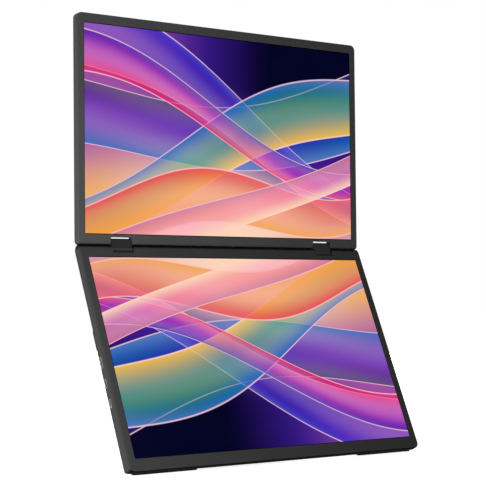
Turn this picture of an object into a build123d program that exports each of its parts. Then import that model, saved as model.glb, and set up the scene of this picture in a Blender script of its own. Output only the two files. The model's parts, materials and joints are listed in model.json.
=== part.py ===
from build123d import *
import os
from math import cos, radians, sin, tan

os.makedirs("parts", exist_ok=True)

# Dual-screen portable monitor: two display panels on a pair of twin-axis hinges, held up by a rear stand.
# Millimetres. X runs to the viewer's right, Y away from the viewer and Z up from the table.
# On a leaning plane, x is across, u rises along the panel and w leaves its front face.

# Screens and bezels
screen_width = 344.7
screen_height = 215.4
screen_corner = 1.5
side_bezel = 8.25
lid_hinge_bezel = 7.15
lid_top_bezel = 10.3
base_hinge_bezel = 9.6
base_bottom_bezel = 13.7
window_margin = 0.8
bezel_lip = 0.8

# Panels
lid_thickness = 9.5
base_thickness = 12.1
lid_wall = 1.4
base_wall = 1.6
inner_wall = 1.2
lid_bezel_depth = 2.6
base_bezel_depth = 3.0
bay_step = 1.2
bay_fall = 87.0
bay_slope = 1.8
panel_corner = 6.0
rim_radius = 1.0
snap_thickness = 0.9
snap_depth = 1.6
snap_gap = 0.1
snap_from_end = 24.0

# Standing pose
base_lean = 27.5
lid_lean = 2.5
stand_lean = -21.0

# Display stack
cell_margin = 1.8
cell_thickness = 1.1
backlight_thickness = 2.1
backlight_inset = 0.6

# Hinges
fold_gap = 0.3
hinge_from_side = 50.6
notch_width = 26.0
lid_notch_reach = 3.8
base_notch_reach = 4.3
link_width = 24.0
link_thickness = 5.6
link_end = 2.3
link_barrel_radius = 3.8
link_corner = 2.0
link_chamfer = 0.3
link_pocket_wall = 2.0
shaft_radius = 1.5
shaft_grip = 12.0
trunnion_radius = 1.6
trunnion_length = 2.4
lead_radius = 0.7
lead_gap = 0.2
passing_gap = 0.3
press_gap = 0.01
running_gap = 0.03
side_gap = 0.05
knuckle_length = 9.0
knuckle_from_notch = 2.0
lid_knuckle_radius = 2.9
base_knuckle_radius = 3.6
washer_count = 3
washer_thickness = 0.7
washer_radius = 2.6
nut_thickness = 2.5
nut_radius = 2.85
nut_sides = 6
shaft_tail = 0.6

# Hinge leaves and screws
leaf_thickness = 1.2
leaf_boss_height = 1.0
leaf_boss_radius = 2.2
leaf_width = 30.0
leaf_start = 7.0
leaf_length = 19.0
leaf_screw_pitch = 10.0
leaf_screw_rise = 14.0
screw_radius = 0.95
screw_hole_gap = 0.05
screw_head_radius = 1.7
screw_head_height = 0.7
screw_reach = 2.7

# Sockets, side wall left
socket_depth = 9.5
video_fall = 112.6
oval_upper_fall = 134.4
oval_lower_fall = 155.4
socket_recess = 0.1
socket_length = 7.5
socket_mouth = 6.0
socket_shell = 0.3
oval_width = 8.94
oval_height = 3.26
oval_tongue_width = 6.7
video_width = 11.2
video_height = 3.2
video_corner = 0.9
video_tongue_width = 8.2
tongue_thickness = 0.7
tongue_setback = 0.6
socket_gap = 0.35

# Main board
board_thickness = 1.2
board_width = 64.0
board_wall_gap = 1.2
board_above_sockets = 22.0
board_below_sockets = 20.0
board_corner = 2.0
board_boss_radius = 2.5
board_screw_inset = 4.0
board_screw_reach = 3.6
chip_height = 1.1
chip_size = 14.0
lead_plug_length = 6.0
lead_plug_width = 8.0
lead_plug_height = 1.6
lead_bend = 3.0
lead_stand_off = 4.0
lead_rise = 12.0

# Buttons, side wall right
button_names = ("power", "plus", "minus")
button_length = 8.4
button_height = 2.8
button_pitch = 15.0
button_first_fall = 112.6
button_proud = 0.4
button_travel = 0.4
button_gap = 0.25
button_flange = 0.9
button_flange_lip = 0.5
button_stem = 1.8
button_stem_radius = 1.2
button_round = 0.3
switch_length = 6.0
switch_height = 3.4
switch_depth = 2.5
switch_plunger = 0.5
switch_plunger_radius = 0.9
switch_rest_gap = 0.1
button_board_margin = 8.0
button_board_height = 6.0
rail_thickness = 1.5
rail_height = 3.0

# Panel flexes and the lid's driver board
flex_width = 24.0
flex_thickness = 0.3
flex_lie = 26.0
flex_inset = 4.0
flex_land = 7.0
driver_width = 120.0
driver_height = 22.0
driver_rise = 36.0
driver_boss_height = 1.3
driver_thickness = 0.9
driver_screw_inset = 5.0
driver_screw_reach = 2.0

# Stand
stand_width = 162.0
stand_thickness = 2.4
stand_rise = 160.0
stand_barrel_radius = 3.0
stand_barrel_gap = 0.5
stand_gap = 0.5
stand_back_gap = 0.4
stand_corner = 5.0
stand_pin_radius = 0.9
stand_pin_grip = 8.0
stand_pin_reach = 12.0
finger_width = 30.0
finger_depth = 9.0
stand_foot_length = 6.0
clutch_gap = 0.9
clutch_width = 12.0
clutch_above = 9.0
clutch_below = 5.0
clutch_height = 4.2
clutch_screw_rise = 5.5
clutch_screw_spread = 3.0
clutch_screw_reach = 5.0

# Feet under the base
bevel_depth = 6.7
foot_height = 1.5
foot_length = 73.0
foot_width = 5.0
foot_from_side = 43.0
foot_round = 0.4

# Derived sizes
panel_width = screen_width + 2 * side_bezel
half_width = panel_width / 2
hinge_x = half_width - hinge_from_side
foot_x = half_width - foot_from_side
lid_half = lid_thickness / 2
base_half = base_thickness / 2
lid_end = lid_hinge_bezel + screen_height + lid_top_bezel
base_end = base_hinge_bezel + screen_height + base_bottom_bezel
axis_spacing = lid_half + base_half + fold_gap
link_lean = (base_lean + lid_lean) / 2
bevel_w = base_half - bevel_depth
lid_inner = lid_half - lid_wall
base_inner = base_half - base_wall
bay_half = base_half + bay_step
bay_inner = bay_half - base_wall
lid_split = lid_half - lid_bezel_depth
base_split = base_half - base_bezel_depth
lid_cell_front = lid_half - bezel_lip
base_cell_front = base_half - bezel_lip
lid_stack_back = lid_cell_front - cell_thickness - backlight_thickness
base_stack_back = base_cell_front - cell_thickness - backlight_thickness
cell_width = screen_width + 2 * cell_margin
cell_height = screen_height + 2 * cell_margin
window_width = screen_width + 2 * window_margin
window_height = screen_height + 2 * window_margin
notch_outer = hinge_x + notch_width / 2
notch_inner = hinge_x - notch_width / 2
link_outer = hinge_x + link_width / 2
link_inner = hinge_x - link_width / 2
knuckle_outer = notch_inner - knuckle_from_notch
knuckle_inner = knuckle_outer - knuckle_length
washers_outer = knuckle_inner - side_gap
washers_inner = washers_outer - washer_count * washer_thickness
nut_inner = washers_inner - nut_thickness
shaft_inner = nut_inner - shaft_tail
leaf_inner = knuckle_outer - leaf_width
lid_leaf_back = -lid_inner + leaf_boss_height
base_leaf_back = -base_inner + leaf_boss_height
driver_back = -lid_inner + driver_boss_height
socket_w = base_half - socket_depth
stand_u = stand_rise - base_end
stand_w = stand_barrel_radius - base_half
stand_plate_back = -stand_barrel_radius
stand_plate_front = stand_plate_back + stand_thickness
stand_half = stand_width / 2
stand_swing = stand_barrel_radius + stand_barrel_gap
recess_half = stand_half + stand_gap
recess_floor = stand_w + stand_plate_front + stand_back_gap
trough_floor = stand_w + stand_swing
board_back = socket_w + oval_height / 2
board_front = board_back + board_thickness
board_left = -half_width + base_wall + board_wall_gap
board_right = board_left + board_width
board_top = board_above_sockets - base_hinge_bezel - video_fall
board_bottom = -base_hinge_bezel - oval_lower_fall - board_below_sockets
lead_x = -(link_outer + trunnion_length + lead_stand_off)
base_lead_w = board_back - lead_plug_height / 2
driver_front = driver_back + driver_thickness
lid_lead_w = driver_front + lead_plug_height / 2
button_w = socket_w
button_seat = half_width - base_wall
clutch_inner = recess_half + inner_wall + clutch_gap
clutch_outer = clutch_inner + clutch_width
clutch_front = clutch_height - base_inner
video_u = -base_hinge_bezel - video_fall
oval_upper_u = -base_hinge_bezel - oval_upper_fall
oval_lower_u = -base_hinge_bezel - oval_lower_fall
oval_w = board_back - oval_height / 2
video_w = board_back - video_height / 2
button_flange_back = button_seat - side_gap - button_flange
button_back = button_flange_back - button_stem
switch_front = button_back - button_travel - switch_rest_gap
button_board_back = switch_front - switch_plunger - switch_depth - board_thickness
link_pocket_inner = link_inner + shaft_grip + link_pocket_wall
link_pocket_outer = link_outer - link_pocket_wall
pocket_reach = lead_radius + lead_gap

# A cut through a wall starts and ends past it
wall_cut = 3 * base_wall
window_cut = 2 * bezel_lip

# Where the hinge axes and the stand pivot lie above the table
lean_sin = sin(radians(base_lean))
lean_cos = cos(radians(base_lean))
stand_sin = sin(radians(stand_lean))
stand_cos = cos(radians(stand_lean))
base_axis_z = foot_height + base_end * lean_cos - bevel_w * lean_sin
stand_z = base_axis_z + stand_u * lean_cos + stand_w * lean_sin
stand_from_axis = stand_u * lean_sin - stand_w * lean_cos
stand_tip = -(stand_z + stand_plate_back * stand_sin) / stand_cos
front_reach = (rim_radius - base_end) * lean_sin + (rim_radius - base_half) * lean_cos - rim_radius
back_reach = stand_from_axis + stand_tip * stand_sin - stand_plate_back * stand_cos
base_axis_y = -(front_reach + back_reach) / 2
recess_bottom = stand_u + stand_tip - stand_gap
recess_top = stand_u + stand_swing
bevel_length = (bevel_w + bay_half) / lean_cos
foot_y = base_axis_y - base_end * lean_sin - bevel_w * lean_cos + bevel_length / 2
lid_axis_y = base_axis_y + axis_spacing * sin(radians(link_lean))
lid_axis_z = base_axis_z + axis_spacing * cos(radians(link_lean))
stand_y = base_axis_y + stand_from_axis


def leaning_plane(lean, y, z):
    """Plane whose second axis rises along a panel that leans back, and whose normal leaves its front."""
    normal = (0, -cos(radians(lean)), sin(radians(lean)))
    return Plane(origin=(0, y, z), x_dir=(1, 0, 0), z_dir=normal)


def side_of(plane, x=0):
    """Plane of a cross-section at x, with u along its first axis and w along its second."""
    start = plane.origin + Vector(x, 0, 0)
    return Plane(origin=start, x_dir=plane.y_dir, z_dir=(1, 0, 0))


base_plane = leaning_plane(base_lean, base_axis_y, base_axis_z)
lid_plane = leaning_plane(lid_lean, lid_axis_y, lid_axis_z)
link_plane = leaning_plane(link_lean, base_axis_y, base_axis_z)
stand_plane = leaning_plane(stand_lean, stand_y, stand_z)


def block(plane, x, u, w, mode=Mode.ADD):
    """Box between two limits along each axis of a leaning plane."""
    middle = Location(((x[0] + x[1]) / 2, (u[0] + u[1]) / 2, (w[0] + w[1]) / 2))
    with Locations(plane.location * middle):
        Box(abs(x[1] - x[0]), abs(u[1] - u[0]), abs(w[1] - w[0]), mode=mode)


def rod(plane, x, u, w, radius, mode=Mode.ADD):
    """Cylinder across the panel between two limits of x."""
    middle = Location(((x[0] + x[1]) / 2, u, w), (0, 90, 0))
    with Locations(plane.location * middle):
        Cylinder(radius, abs(x[1] - x[0]), mode=mode)


def post(plane, x, u, w, radius, mode=Mode.ADD):
    """Cylinder square to the panel between two limits of w."""
    middle = Location((x, u, (w[0] + w[1]) / 2))
    with Locations(plane.location * middle):
        Cylinder(radius, abs(w[1] - w[0]), mode=mode)


def screw(plane, x, u, seat, reach):
    """Pan-head screw whose head rests on the surface at w = seat."""
    post(plane, x, u, (seat, seat + screw_head_height), screw_head_radius)
    post(plane, x, u, (seat - reach, seat), screw_radius)


def lid_section(inset):
    """Cross-section of the lid, round about its hinge axis, drawn inside its skin by inset."""
    half = lid_half - inset
    end = lid_end - inset
    with BuildSketch(side_of(lid_plane), mode=Mode.PRIVATE) as section:
        with BuildLine():
            Polyline((0, half), (end, half), (end, -half), (0, -half))
            ThreePointArc((0, -half), (-half, 0), (0, half))
        make_face()
    return section.sketch


def base_section(inset):
    """Cross-section of the base, round about its hinge axis, deeper below and bevelled where it stands."""
    half = base_half - inset
    back = bay_half - inset
    end = base_end - inset
    start = bevel_w + inset * tan(radians(base_lean / 2))
    rise = (start + back) * tan(radians(base_lean))
    bay_top = (bay_slope - bay_fall, -half)
    bay_middle = (-bay_fall, -(half + back) / 2)
    bay_foot = (-bay_slope - bay_fall, -back)
    with BuildSketch(side_of(base_plane), mode=Mode.PRIVATE) as section:
        with BuildLine():
            Polyline((0, half), (-end, half), (-end, start), (rise - end, -back), bay_foot)
            TangentArc(bay_foot, bay_middle, tangent=(1, 0))
            TangentArc(bay_top, bay_middle, tangent=(-1, 0))
            Line(bay_top, (0, -half))
            ThreePointArc((0, -half), (half, 0), (0, half))
        make_face()
    return section.sketch


def panel_outline(plane, end, inset):
    """Front view of a panel, square at the hinge and with round corners at its free end."""
    near = -panel_corner * end / abs(end)
    with BuildSketch(plane, mode=Mode.PRIVATE) as outline:
        with Locations((0, (near * 2 + end - inset * end / abs(end)) / 2)):
            Rectangle(panel_width - 2 * inset, abs(end - near * 2) - inset)
        far = outline.vertices().group_by(Axis.Y)
        fillet(far[-1] if end > 0 else far[0], panel_corner - inset)
    return outline.sketch


def rim_edges(body, plane, toward):
    """Edges about the front, back and side faces, apart from the smooth seams across the panel."""
    normal = Axis(plane.origin, plane.z_dir)
    edges = body.faces().filter_by(normal).edges() + body.faces().filter_by(Axis.X).edges()

    def at_rim(edge):
        middle = plane.to_local_coords(edge.center())
        return abs(middle.X) > rim_radius or toward * middle.Y > screen_height / 2

    return edges.filter_by(normal, reverse=True).filter_by(at_rim)


def hinge_room(plane, sign, toward, reach, thickness, wall):
    """Cut a block about a hinge notch, grown by wall, from past the round edge to the notch's floor."""
    x = (sign * (notch_inner - wall), sign * (notch_outer + wall))
    u = (-toward * thickness, toward * (reach + wall))
    block(plane, x, u, (-thickness, thickness), Mode.SUBTRACT)


def hinge_holes(plane, sign):
    """Cut the shaft's and the trunnion's way through the two side walls of a notch."""
    reach = inner_wall + passing_gap
    shaft_x = (sign * notch_inner, sign * (notch_inner - reach))
    rod(plane, shaft_x, 0, 0, shaft_radius + passing_gap, Mode.SUBTRACT)
    trunnion_x = (sign * notch_outer, sign * (notch_outer + reach))
    rod(plane, trunnion_x, 0, 0, trunnion_radius + passing_gap, Mode.SUBTRACT)


def board_screw_spots():
    """Places of the four screws through the corners of the main board."""
    across = (board_left + board_screw_inset, board_right - board_screw_inset)
    along = (board_bottom + board_screw_inset, board_top - board_screw_inset)
    return [(x, u) for x in across for u in along]


def clutch_screw_spots(sign):
    """Places of the two screws through a stand clutch."""
    middle = (clutch_inner + clutch_outer) / 2
    return [(sign * (middle + step * clutch_screw_spread), stand_u + clutch_screw_rise) for step in (-1, 1)]


def driver_screw_spots():
    """Places across the lid of the two screws through its driver board."""
    reach = driver_width / 2 - driver_screw_inset
    return [-reach, reach]


def button_places():
    """Places of the buttons along the right side wall, from the hinge downwards."""
    first = -base_hinge_bezel - button_first_fall
    return [first - step * button_pitch for step in range(len(button_names))]


def leaf_screw_spots(sign, toward):
    """Places of the three screws through a hinge leaf."""
    middle = (knuckle_outer + leaf_inner) / 2
    return [(sign * (middle + step * leaf_screw_pitch), toward * leaf_screw_rise) for step in (-1, 0, 1)]


def snap_lip(plane, sign, toward, end, wall, split_w, inner):
    """Lip along a bezel's side that reaches inside the rear cover's wall."""
    outer = half_width - wall
    u = (toward * snap_from_end, toward * (end - snap_from_end))
    block(plane, (sign * (outer - snap_gap - snap_thickness), sign * outer), u, (split_w, inner))
    lip_x = (sign * (outer - snap_gap - snap_thickness), sign * (outer - snap_gap))
    block(plane, lip_x, u, (split_w - snap_depth, split_w))


def cell_room(plane, toward, rise, front):
    """Cut the pocket in a bezel's back that the display cell lies in."""
    room = cell_margin + passing_gap / 2
    x = (-screen_width / 2 - room, screen_width / 2 + room)
    u = (toward * (rise - room), toward * (rise + screen_height + room))
    block(plane, x, u, (front - cell_thickness - backlight_thickness, front), Mode.SUBTRACT)


def panel_flex(plane, x, start, leg, finish, levels):
    """Flat flex that lies on a backlight, steps down at leg and ends flat on a circuit board."""
    high, low = levels
    bend = leg + flex_thickness
    with BuildSketch(side_of(plane, x), mode=Mode.PRIVATE) as section:
        with BuildLine():
            Polyline(
                (start, high),
                (leg, high),
                (leg, low + flex_thickness),
                (finish, low + flex_thickness),
                (finish, low),
                (bend, low),
                (bend, high - flex_thickness),
                (start, high - flex_thickness),
                close=True,
            )
        make_face()
    return section.sketch


# Skin and inside of the lid, from which its two covers are cut
with BuildPart() as lid_body:
    extrude(lid_section(0), amount=half_width, both=True)
    outline = panel_outline(lid_plane, lid_end, 0)
    extrude(outline, amount=lid_thickness, both=True, mode=Mode.INTERSECT)
    fillet(rim_edges(lid_body, lid_plane, 1), rim_radius)

with BuildPart() as lid_cavity:
    extrude(lid_section(lid_wall), amount=half_width - lid_wall, both=True)
    outline = panel_outline(lid_plane, lid_end, lid_wall)
    extrude(outline, amount=lid_thickness, both=True, mode=Mode.INTERSECT)
    for sign in (-1, 1):
        hinge_room(lid_plane, sign, 1, lid_notch_reach, lid_thickness, inner_wall)
        for x, u in leaf_screw_spots(sign, 1):
            post(lid_plane, x, u, (-lid_half, lid_leaf_back), leaf_boss_radius, Mode.SUBTRACT)
    for x in driver_screw_spots():
        post(lid_plane, x, driver_rise, (-lid_half, driver_back), leaf_boss_radius, Mode.SUBTRACT)

with BuildPart() as lid_shell:
    add(lid_body.part)
    add(lid_cavity.part, mode=Mode.SUBTRACT)
    for sign in (-1, 1):
        hinge_room(lid_plane, sign, 1, lid_notch_reach, lid_thickness, 0)
        hinge_holes(lid_plane, sign)

# Skin and inside of the base
with BuildPart() as base_body:
    extrude(base_section(0), amount=half_width, both=True)
    outline = panel_outline(base_plane, -base_end, 0)
    extrude(outline, amount=base_thickness, both=True, mode=Mode.INTERSECT)
    fillet(rim_edges(base_body, base_plane, -1), rim_radius)

with BuildPart() as base_cavity:
    extrude(base_section(base_wall), amount=half_width - base_wall, both=True)
    outline = panel_outline(base_plane, -base_end, base_wall)
    extrude(outline, amount=base_thickness, both=True, mode=Mode.INTERSECT)
    for sign in (-1, 1):
        hinge_room(base_plane, sign, -1, base_notch_reach, base_thickness, inner_wall)
        for x, u in leaf_screw_spots(sign, -1):
            post(base_plane, x, u, (-base_half, base_leaf_back), leaf_boss_radius, Mode.SUBTRACT)
    for x, u in board_screw_spots():
        post(base_plane, x, u, (-bay_half, board_back), board_boss_radius, Mode.SUBTRACT)
    wall_x = (-recess_half - inner_wall, recess_half + inner_wall)
    wall_u = (recess_bottom - inner_wall, recess_top + inner_wall)
    block(base_plane, wall_x, wall_u, (-bay_half, recess_floor + inner_wall), Mode.SUBTRACT)
    wall_u = (stand_u - stand_swing - inner_wall, recess_top + inner_wall)
    block(base_plane, wall_x, wall_u, (-bay_half, trough_floor + inner_wall), Mode.SUBTRACT)
    rail_x = (button_board_back - rail_thickness, button_board_back)
    rail_u = (button_places()[-1], button_places()[0])
    block(base_plane, rail_x, rail_u, (-bay_half, rail_height - bay_inner), Mode.SUBTRACT)

with BuildPart() as base_shell:
    add(base_body.part)
    add(base_cavity.part, mode=Mode.SUBTRACT)
    for sign in (-1, 1):
        hinge_room(base_plane, sign, -1, base_notch_reach, base_thickness, 0)
        hinge_holes(base_plane, sign)

# Base rear cover: one piece with the side walls, the stand's recess and the bosses
with BuildPart() as base_rear_cover:
    add(base_shell.part)
    split(bisect_by=base_plane.offset(base_split), keep=Keep.BOTTOM)
    recess_x = (-recess_half, recess_half)
    block(base_plane, recess_x, (recess_bottom, recess_top), (-base_thickness, recess_floor), Mode.SUBTRACT)
    trough_u = (stand_u - stand_swing, recess_top)
    block(base_plane, recess_x, trough_u, (-base_thickness, trough_floor), Mode.SUBTRACT)
    for sign in (-1, 1):
        pin_x = (sign * recess_half, sign * (recess_half + inner_wall + passing_gap))
        rod(base_plane, pin_x, stand_u, stand_w, stand_pin_radius + passing_gap, Mode.SUBTRACT)
        for x, u in leaf_screw_spots(sign, -1):
            pilot = (base_leaf_back + leaf_thickness - screw_reach - passing_gap, base_leaf_back)
            post(base_plane, x, u, pilot, screw_radius + screw_hole_gap, Mode.SUBTRACT)
        for x, u in clutch_screw_spots(sign):
            pilot = (clutch_front - clutch_screw_reach - passing_gap, -base_inner)
            post(base_plane, x, u, pilot, screw_radius + screw_hole_gap, Mode.SUBTRACT)
    for x, u in board_screw_spots():
        pilot = (board_front - board_screw_reach - passing_gap, board_back)
        post(base_plane, x, u, pilot, screw_radius + screw_hole_gap, Mode.SUBTRACT)
    with BuildSketch(side_of(base_plane, -half_width - base_wall)):
        with Locations((oval_upper_u, oval_w), (oval_lower_u, oval_w)):
            SlotOverall(oval_width + 2 * socket_gap, oval_height + 2 * socket_gap)
        with Locations((video_u, video_w)):
            RectangleRounded(
                video_width + 2 * socket_gap,
                video_height + 2 * socket_gap,
                video_corner + socket_gap,
            )
    extrude(amount=wall_cut, mode=Mode.SUBTRACT)
    with BuildSketch(side_of(base_plane, button_seat - base_wall)):
        with Locations([(u, button_w) for u in button_places()]):
            SlotOverall(button_length + 2 * button_gap, button_height + 2 * button_gap)
    extrude(amount=wall_cut, mode=Mode.SUBTRACT)
base_rear_cover.part.label = "base_rear_cover"
export_step(base_rear_cover.part, "parts/base_rear_cover.step")

# Base front bezel: frame about the lower screen, with snap lips inside the rear cover
with BuildPart() as base_front_bezel:
    add(base_shell.part)
    split(bisect_by=base_plane.offset(base_split), keep=Keep.TOP)
    for sign in (-1, 1):
        snap_lip(base_plane, sign, -1, base_end, base_wall, base_split, base_inner)
    cell_room(base_plane, -1, base_hinge_bezel, base_cell_front)
    with BuildSketch(base_plane.offset(base_half)):
        with Locations((0, -base_hinge_bezel - screen_height / 2)):
            RectangleRounded(window_width, window_height, screen_corner)
    extrude(amount=-window_cut, mode=Mode.SUBTRACT)
base_front_bezel.part.label = "base_front_bezel"
export_step(base_front_bezel.part, "parts/base_front_bezel.step")

# Lid rear cover
with BuildPart() as lid_rear_cover:
    add(lid_shell.part)
    split(bisect_by=lid_plane.offset(lid_split), keep=Keep.BOTTOM)
    for sign in (-1, 1):
        for x, u in leaf_screw_spots(sign, 1):
            pilot = (lid_leaf_back + leaf_thickness - screw_reach - passing_gap, lid_leaf_back)
            post(lid_plane, x, u, pilot, screw_radius + screw_hole_gap, Mode.SUBTRACT)
    for x in driver_screw_spots():
        pilot = (driver_front - driver_screw_reach - passing_gap, driver_back)
        post(lid_plane, x, driver_rise, pilot, screw_radius + screw_hole_gap, Mode.SUBTRACT)
lid_rear_cover.part.label = "lid_rear_cover"
export_step(lid_rear_cover.part, "parts/lid_rear_cover.step")

# Lid front bezel
with BuildPart() as lid_front_bezel:
    add(lid_shell.part)
    split(bisect_by=lid_plane.offset(lid_split), keep=Keep.TOP)
    for sign in (-1, 1):
        snap_lip(lid_plane, sign, 1, lid_end, lid_wall, lid_split, lid_inner)
    cell_room(lid_plane, 1, lid_hinge_bezel, lid_cell_front)
    with BuildSketch(lid_plane.offset(lid_half)):
        with Locations((0, lid_hinge_bezel + screen_height / 2)):
            RectangleRounded(window_width, window_height, screen_corner)
    extrude(amount=-window_cut, mode=Mode.SUBTRACT)
lid_front_bezel.part.label = "lid_front_bezel"
export_step(lid_front_bezel.part, "parts/lid_front_bezel.step")

# Display cells and backlights, stacked behind the bezel windows
for name, plane, toward, rise, front in (
    ("base", base_plane, -1, base_hinge_bezel, base_cell_front),
    ("lid", lid_plane, 1, lid_hinge_bezel, lid_cell_front),
):
    cell_u = (toward * (rise - cell_margin), toward * (rise - cell_margin + cell_height))
    cell_back = front - cell_thickness
    with BuildPart() as display_cell:
        block(plane, (-cell_width / 2, cell_width / 2), cell_u, (cell_back, front))
    display_cell.part.label = f"{name}_display_cell"
    export_step(display_cell.part, f"parts/{name}_display_cell.step")

    tray_x = (backlight_inset - cell_width / 2, cell_width / 2 - backlight_inset)
    tray_u = (cell_u[0] + toward * backlight_inset, cell_u[1] - toward * backlight_inset)
    with BuildPart() as backlight:
        block(plane, tray_x, tray_u, (cell_back - backlight_thickness, cell_back))
    backlight.part.label = f"{name}_backlight"
    export_step(backlight.part, f"parts/{name}_backlight.step")

# Hinge brackets: a knuckle about each shaft and a leaf screwed to the rear cover
for name, plane, toward, radius, back in (
    ("base", base_plane, -1, base_knuckle_radius, base_leaf_back),
    ("lid", lid_plane, 1, lid_knuckle_radius, lid_leaf_back),
):
    seat = back + leaf_thickness
    for side, sign in (("left", -1), ("right", 1)):
        with BuildPart() as bracket:
            with BuildSketch(side_of(plane, min(sign * knuckle_inner, sign * knuckle_outer))):
                Circle(radius)
                with Locations((toward * leaf_start, (back + seat) / 2)):
                    Rectangle(2 * leaf_start, leaf_thickness)
                Circle(shaft_radius + running_gap, mode=Mode.SUBTRACT)
            extrude(amount=knuckle_length)
            leaf_u = (toward * leaf_start, toward * (leaf_start + leaf_length))
            block(plane, (sign * leaf_inner, sign * knuckle_outer), leaf_u, (back, seat))
            for x, u in leaf_screw_spots(sign, toward):
                post(plane, x, u, (back, seat), screw_radius + screw_hole_gap, Mode.SUBTRACT)
        bracket.part.label = f"{name}_hinge_bracket_{side}"
        export_step(bracket.part, f"parts/{name}_hinge_bracket_{side}.step")

    with BuildPart() as bracket_screws:
        for x, u in leaf_screw_spots(-1, toward) + leaf_screw_spots(1, toward):
            screw(plane, x, u, seat, screw_reach)
    bracket_screws.part.label = f"{name}_hinge_screws"
    export_step(bracket_screws.part, f"parts/{name}_hinge_screws.step")

# Hinge links: a bar between the two axes, hollow for the signal lead, with a barrel about the lower axis
# and a trunnion about each
for side, sign in (("left", -1), ("right", 1)):
    with BuildPart() as hinge_link:
        with BuildSketch(side_of(link_plane, sign * hinge_x)):
            with Locations((axis_spacing / 2, 0)):
                RectangleRounded(axis_spacing + 2 * link_end, link_thickness, link_corner)
            Circle(link_barrel_radius)
        extrude(amount=link_width / 2, both=True)
        chamfer(hinge_link.faces().filter_by(Axis.X).edges(), link_chamfer)
        trunnion_x = (sign * link_outer, sign * (link_outer + trunnion_length))
        grip_x = (sign * link_inner, sign * (link_inner + shaft_grip))
        bore_x = (sign * link_pocket_inner, sign * (link_outer + trunnion_length))
        for u in (0, axis_spacing):
            rod(link_plane, trunnion_x, u, 0, trunnion_radius)
            rod(link_plane, grip_x, u, 0, shaft_radius + press_gap, Mode.SUBTRACT)
            rod(link_plane, bore_x, u, 0, pocket_reach, Mode.SUBTRACT)
        pocket_x = (sign * link_pocket_inner, sign * link_pocket_outer)
        pocket_u = (-pocket_reach, axis_spacing + pocket_reach)
        block(link_plane, pocket_x, pocket_u, (-pocket_reach, pocket_reach), Mode.SUBTRACT)
    hinge_link.part.label = f"hinge_link_{side}"
    export_step(hinge_link.part, f"parts/hinge_link_{side}.step")

# Shafts, fast in the links and turning in the brackets' knuckles
for name, u in (("base", 0), ("lid", axis_spacing)):
    for side, sign in (("left", -1), ("right", 1)):
        with BuildPart() as hinge_shaft:
            rod(link_plane, (sign * shaft_inner, sign * (link_inner + shaft_grip)), u, 0, shaft_radius)
        hinge_shaft.part.label = f"{name}_hinge_shaft_{side}"
        export_step(hinge_shaft.part, f"parts/{name}_hinge_shaft_{side}.step")

with BuildPart() as friction_washers:
    for sign in (-1, 1):
        for u in (0, axis_spacing):
            for step in range(washer_count):
                outer = washers_outer - step * washer_thickness
                washer_x = (sign * outer, sign * (outer - washer_thickness + side_gap))
                rod(link_plane, washer_x, u, 0, washer_radius)
            stack_x = (sign * washers_outer, sign * washers_inner)
            rod(link_plane, stack_x, u, 0, shaft_radius + press_gap, Mode.SUBTRACT)
friction_washers.part.label = "friction_washers"
export_step(friction_washers.part, "parts/friction_washers.step")

with BuildPart() as shaft_nuts:
    for sign in (-1, 1):
        with BuildSketch(side_of(link_plane, min(sign * nut_inner, sign * washers_inner))):
            with Locations((0, 0), (axis_spacing, 0)):
                RegularPolygon(nut_radius, nut_sides)
                Circle(shaft_radius + press_gap, mode=Mode.SUBTRACT)
        extrude(amount=nut_thickness)
shaft_nuts.part.label = "shaft_nuts"
export_step(shaft_nuts.part, "parts/shaft_nuts.step")

# Signal lead: it swivels about each hinge axis where it passes a trunnion of the left link
with BuildPart() as link_lead:
    with BuildLine(Plane.XY) as link_route:
        mouth = -(link_outer + trunnion_length)
        corner = -(link_pocket_inner + pocket_reach)
        FilletPolyline(
            link_plane.from_local_coords(Vector(mouth, 0, 0)),
            link_plane.from_local_coords(Vector(corner, 0, 0)),
            link_plane.from_local_coords(Vector(corner, axis_spacing, 0)),
            link_plane.from_local_coords(Vector(mouth, axis_spacing, 0)),
            radius=lead_bend,
        )
    with BuildSketch(Plane(link_route.line @ 0, z_dir=link_route.line % 0)):
        Circle(lead_radius)
    sweep(path=link_route.line)
link_lead.part.label = "link_lead"
export_step(link_lead.part, "parts/link_lead.step")

with BuildPart() as base_lead:
    with BuildLine(Plane.XY) as base_route:
        FilletPolyline(
            base_plane.from_local_coords(Vector(mouth - lead_gap, 0, 0)),
            base_plane.from_local_coords(Vector(lead_x, 0, 0)),
            base_plane.from_local_coords(Vector(lead_x, -lead_rise, base_lead_w)),
            base_plane.from_local_coords(Vector(lead_x, board_top, base_lead_w)),
            radius=lead_bend,
        )
    with BuildSketch(Plane(base_route.line @ 0, z_dir=base_route.line % 0)):
        Circle(lead_radius)
    sweep(path=base_route.line)
base_lead.part.label = "base_lead"
export_step(base_lead.part, "parts/base_lead.step")

with BuildPart() as lid_lead:
    with BuildLine(Plane.XY) as lid_route:
        FilletPolyline(
            lid_plane.from_local_coords(Vector(mouth - lead_gap, 0, 0)),
            lid_plane.from_local_coords(Vector(lead_x, 0, 0)),
            lid_plane.from_local_coords(Vector(lead_x, lead_rise, lid_lead_w)),
            lid_plane.from_local_coords(Vector(lead_x, driver_rise, lid_lead_w)),
            lid_plane.from_local_coords(Vector(-driver_width / 2, driver_rise, lid_lead_w)),
            radius=lead_bend,
        )
    with BuildSketch(Plane(lid_route.line @ 0, z_dir=lid_route.line % 0)):
        Circle(lead_radius)
    sweep(path=lid_route.line)
lid_lead.part.label = "lid_lead"
export_step(lid_lead.part, "parts/lid_lead.step")

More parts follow.
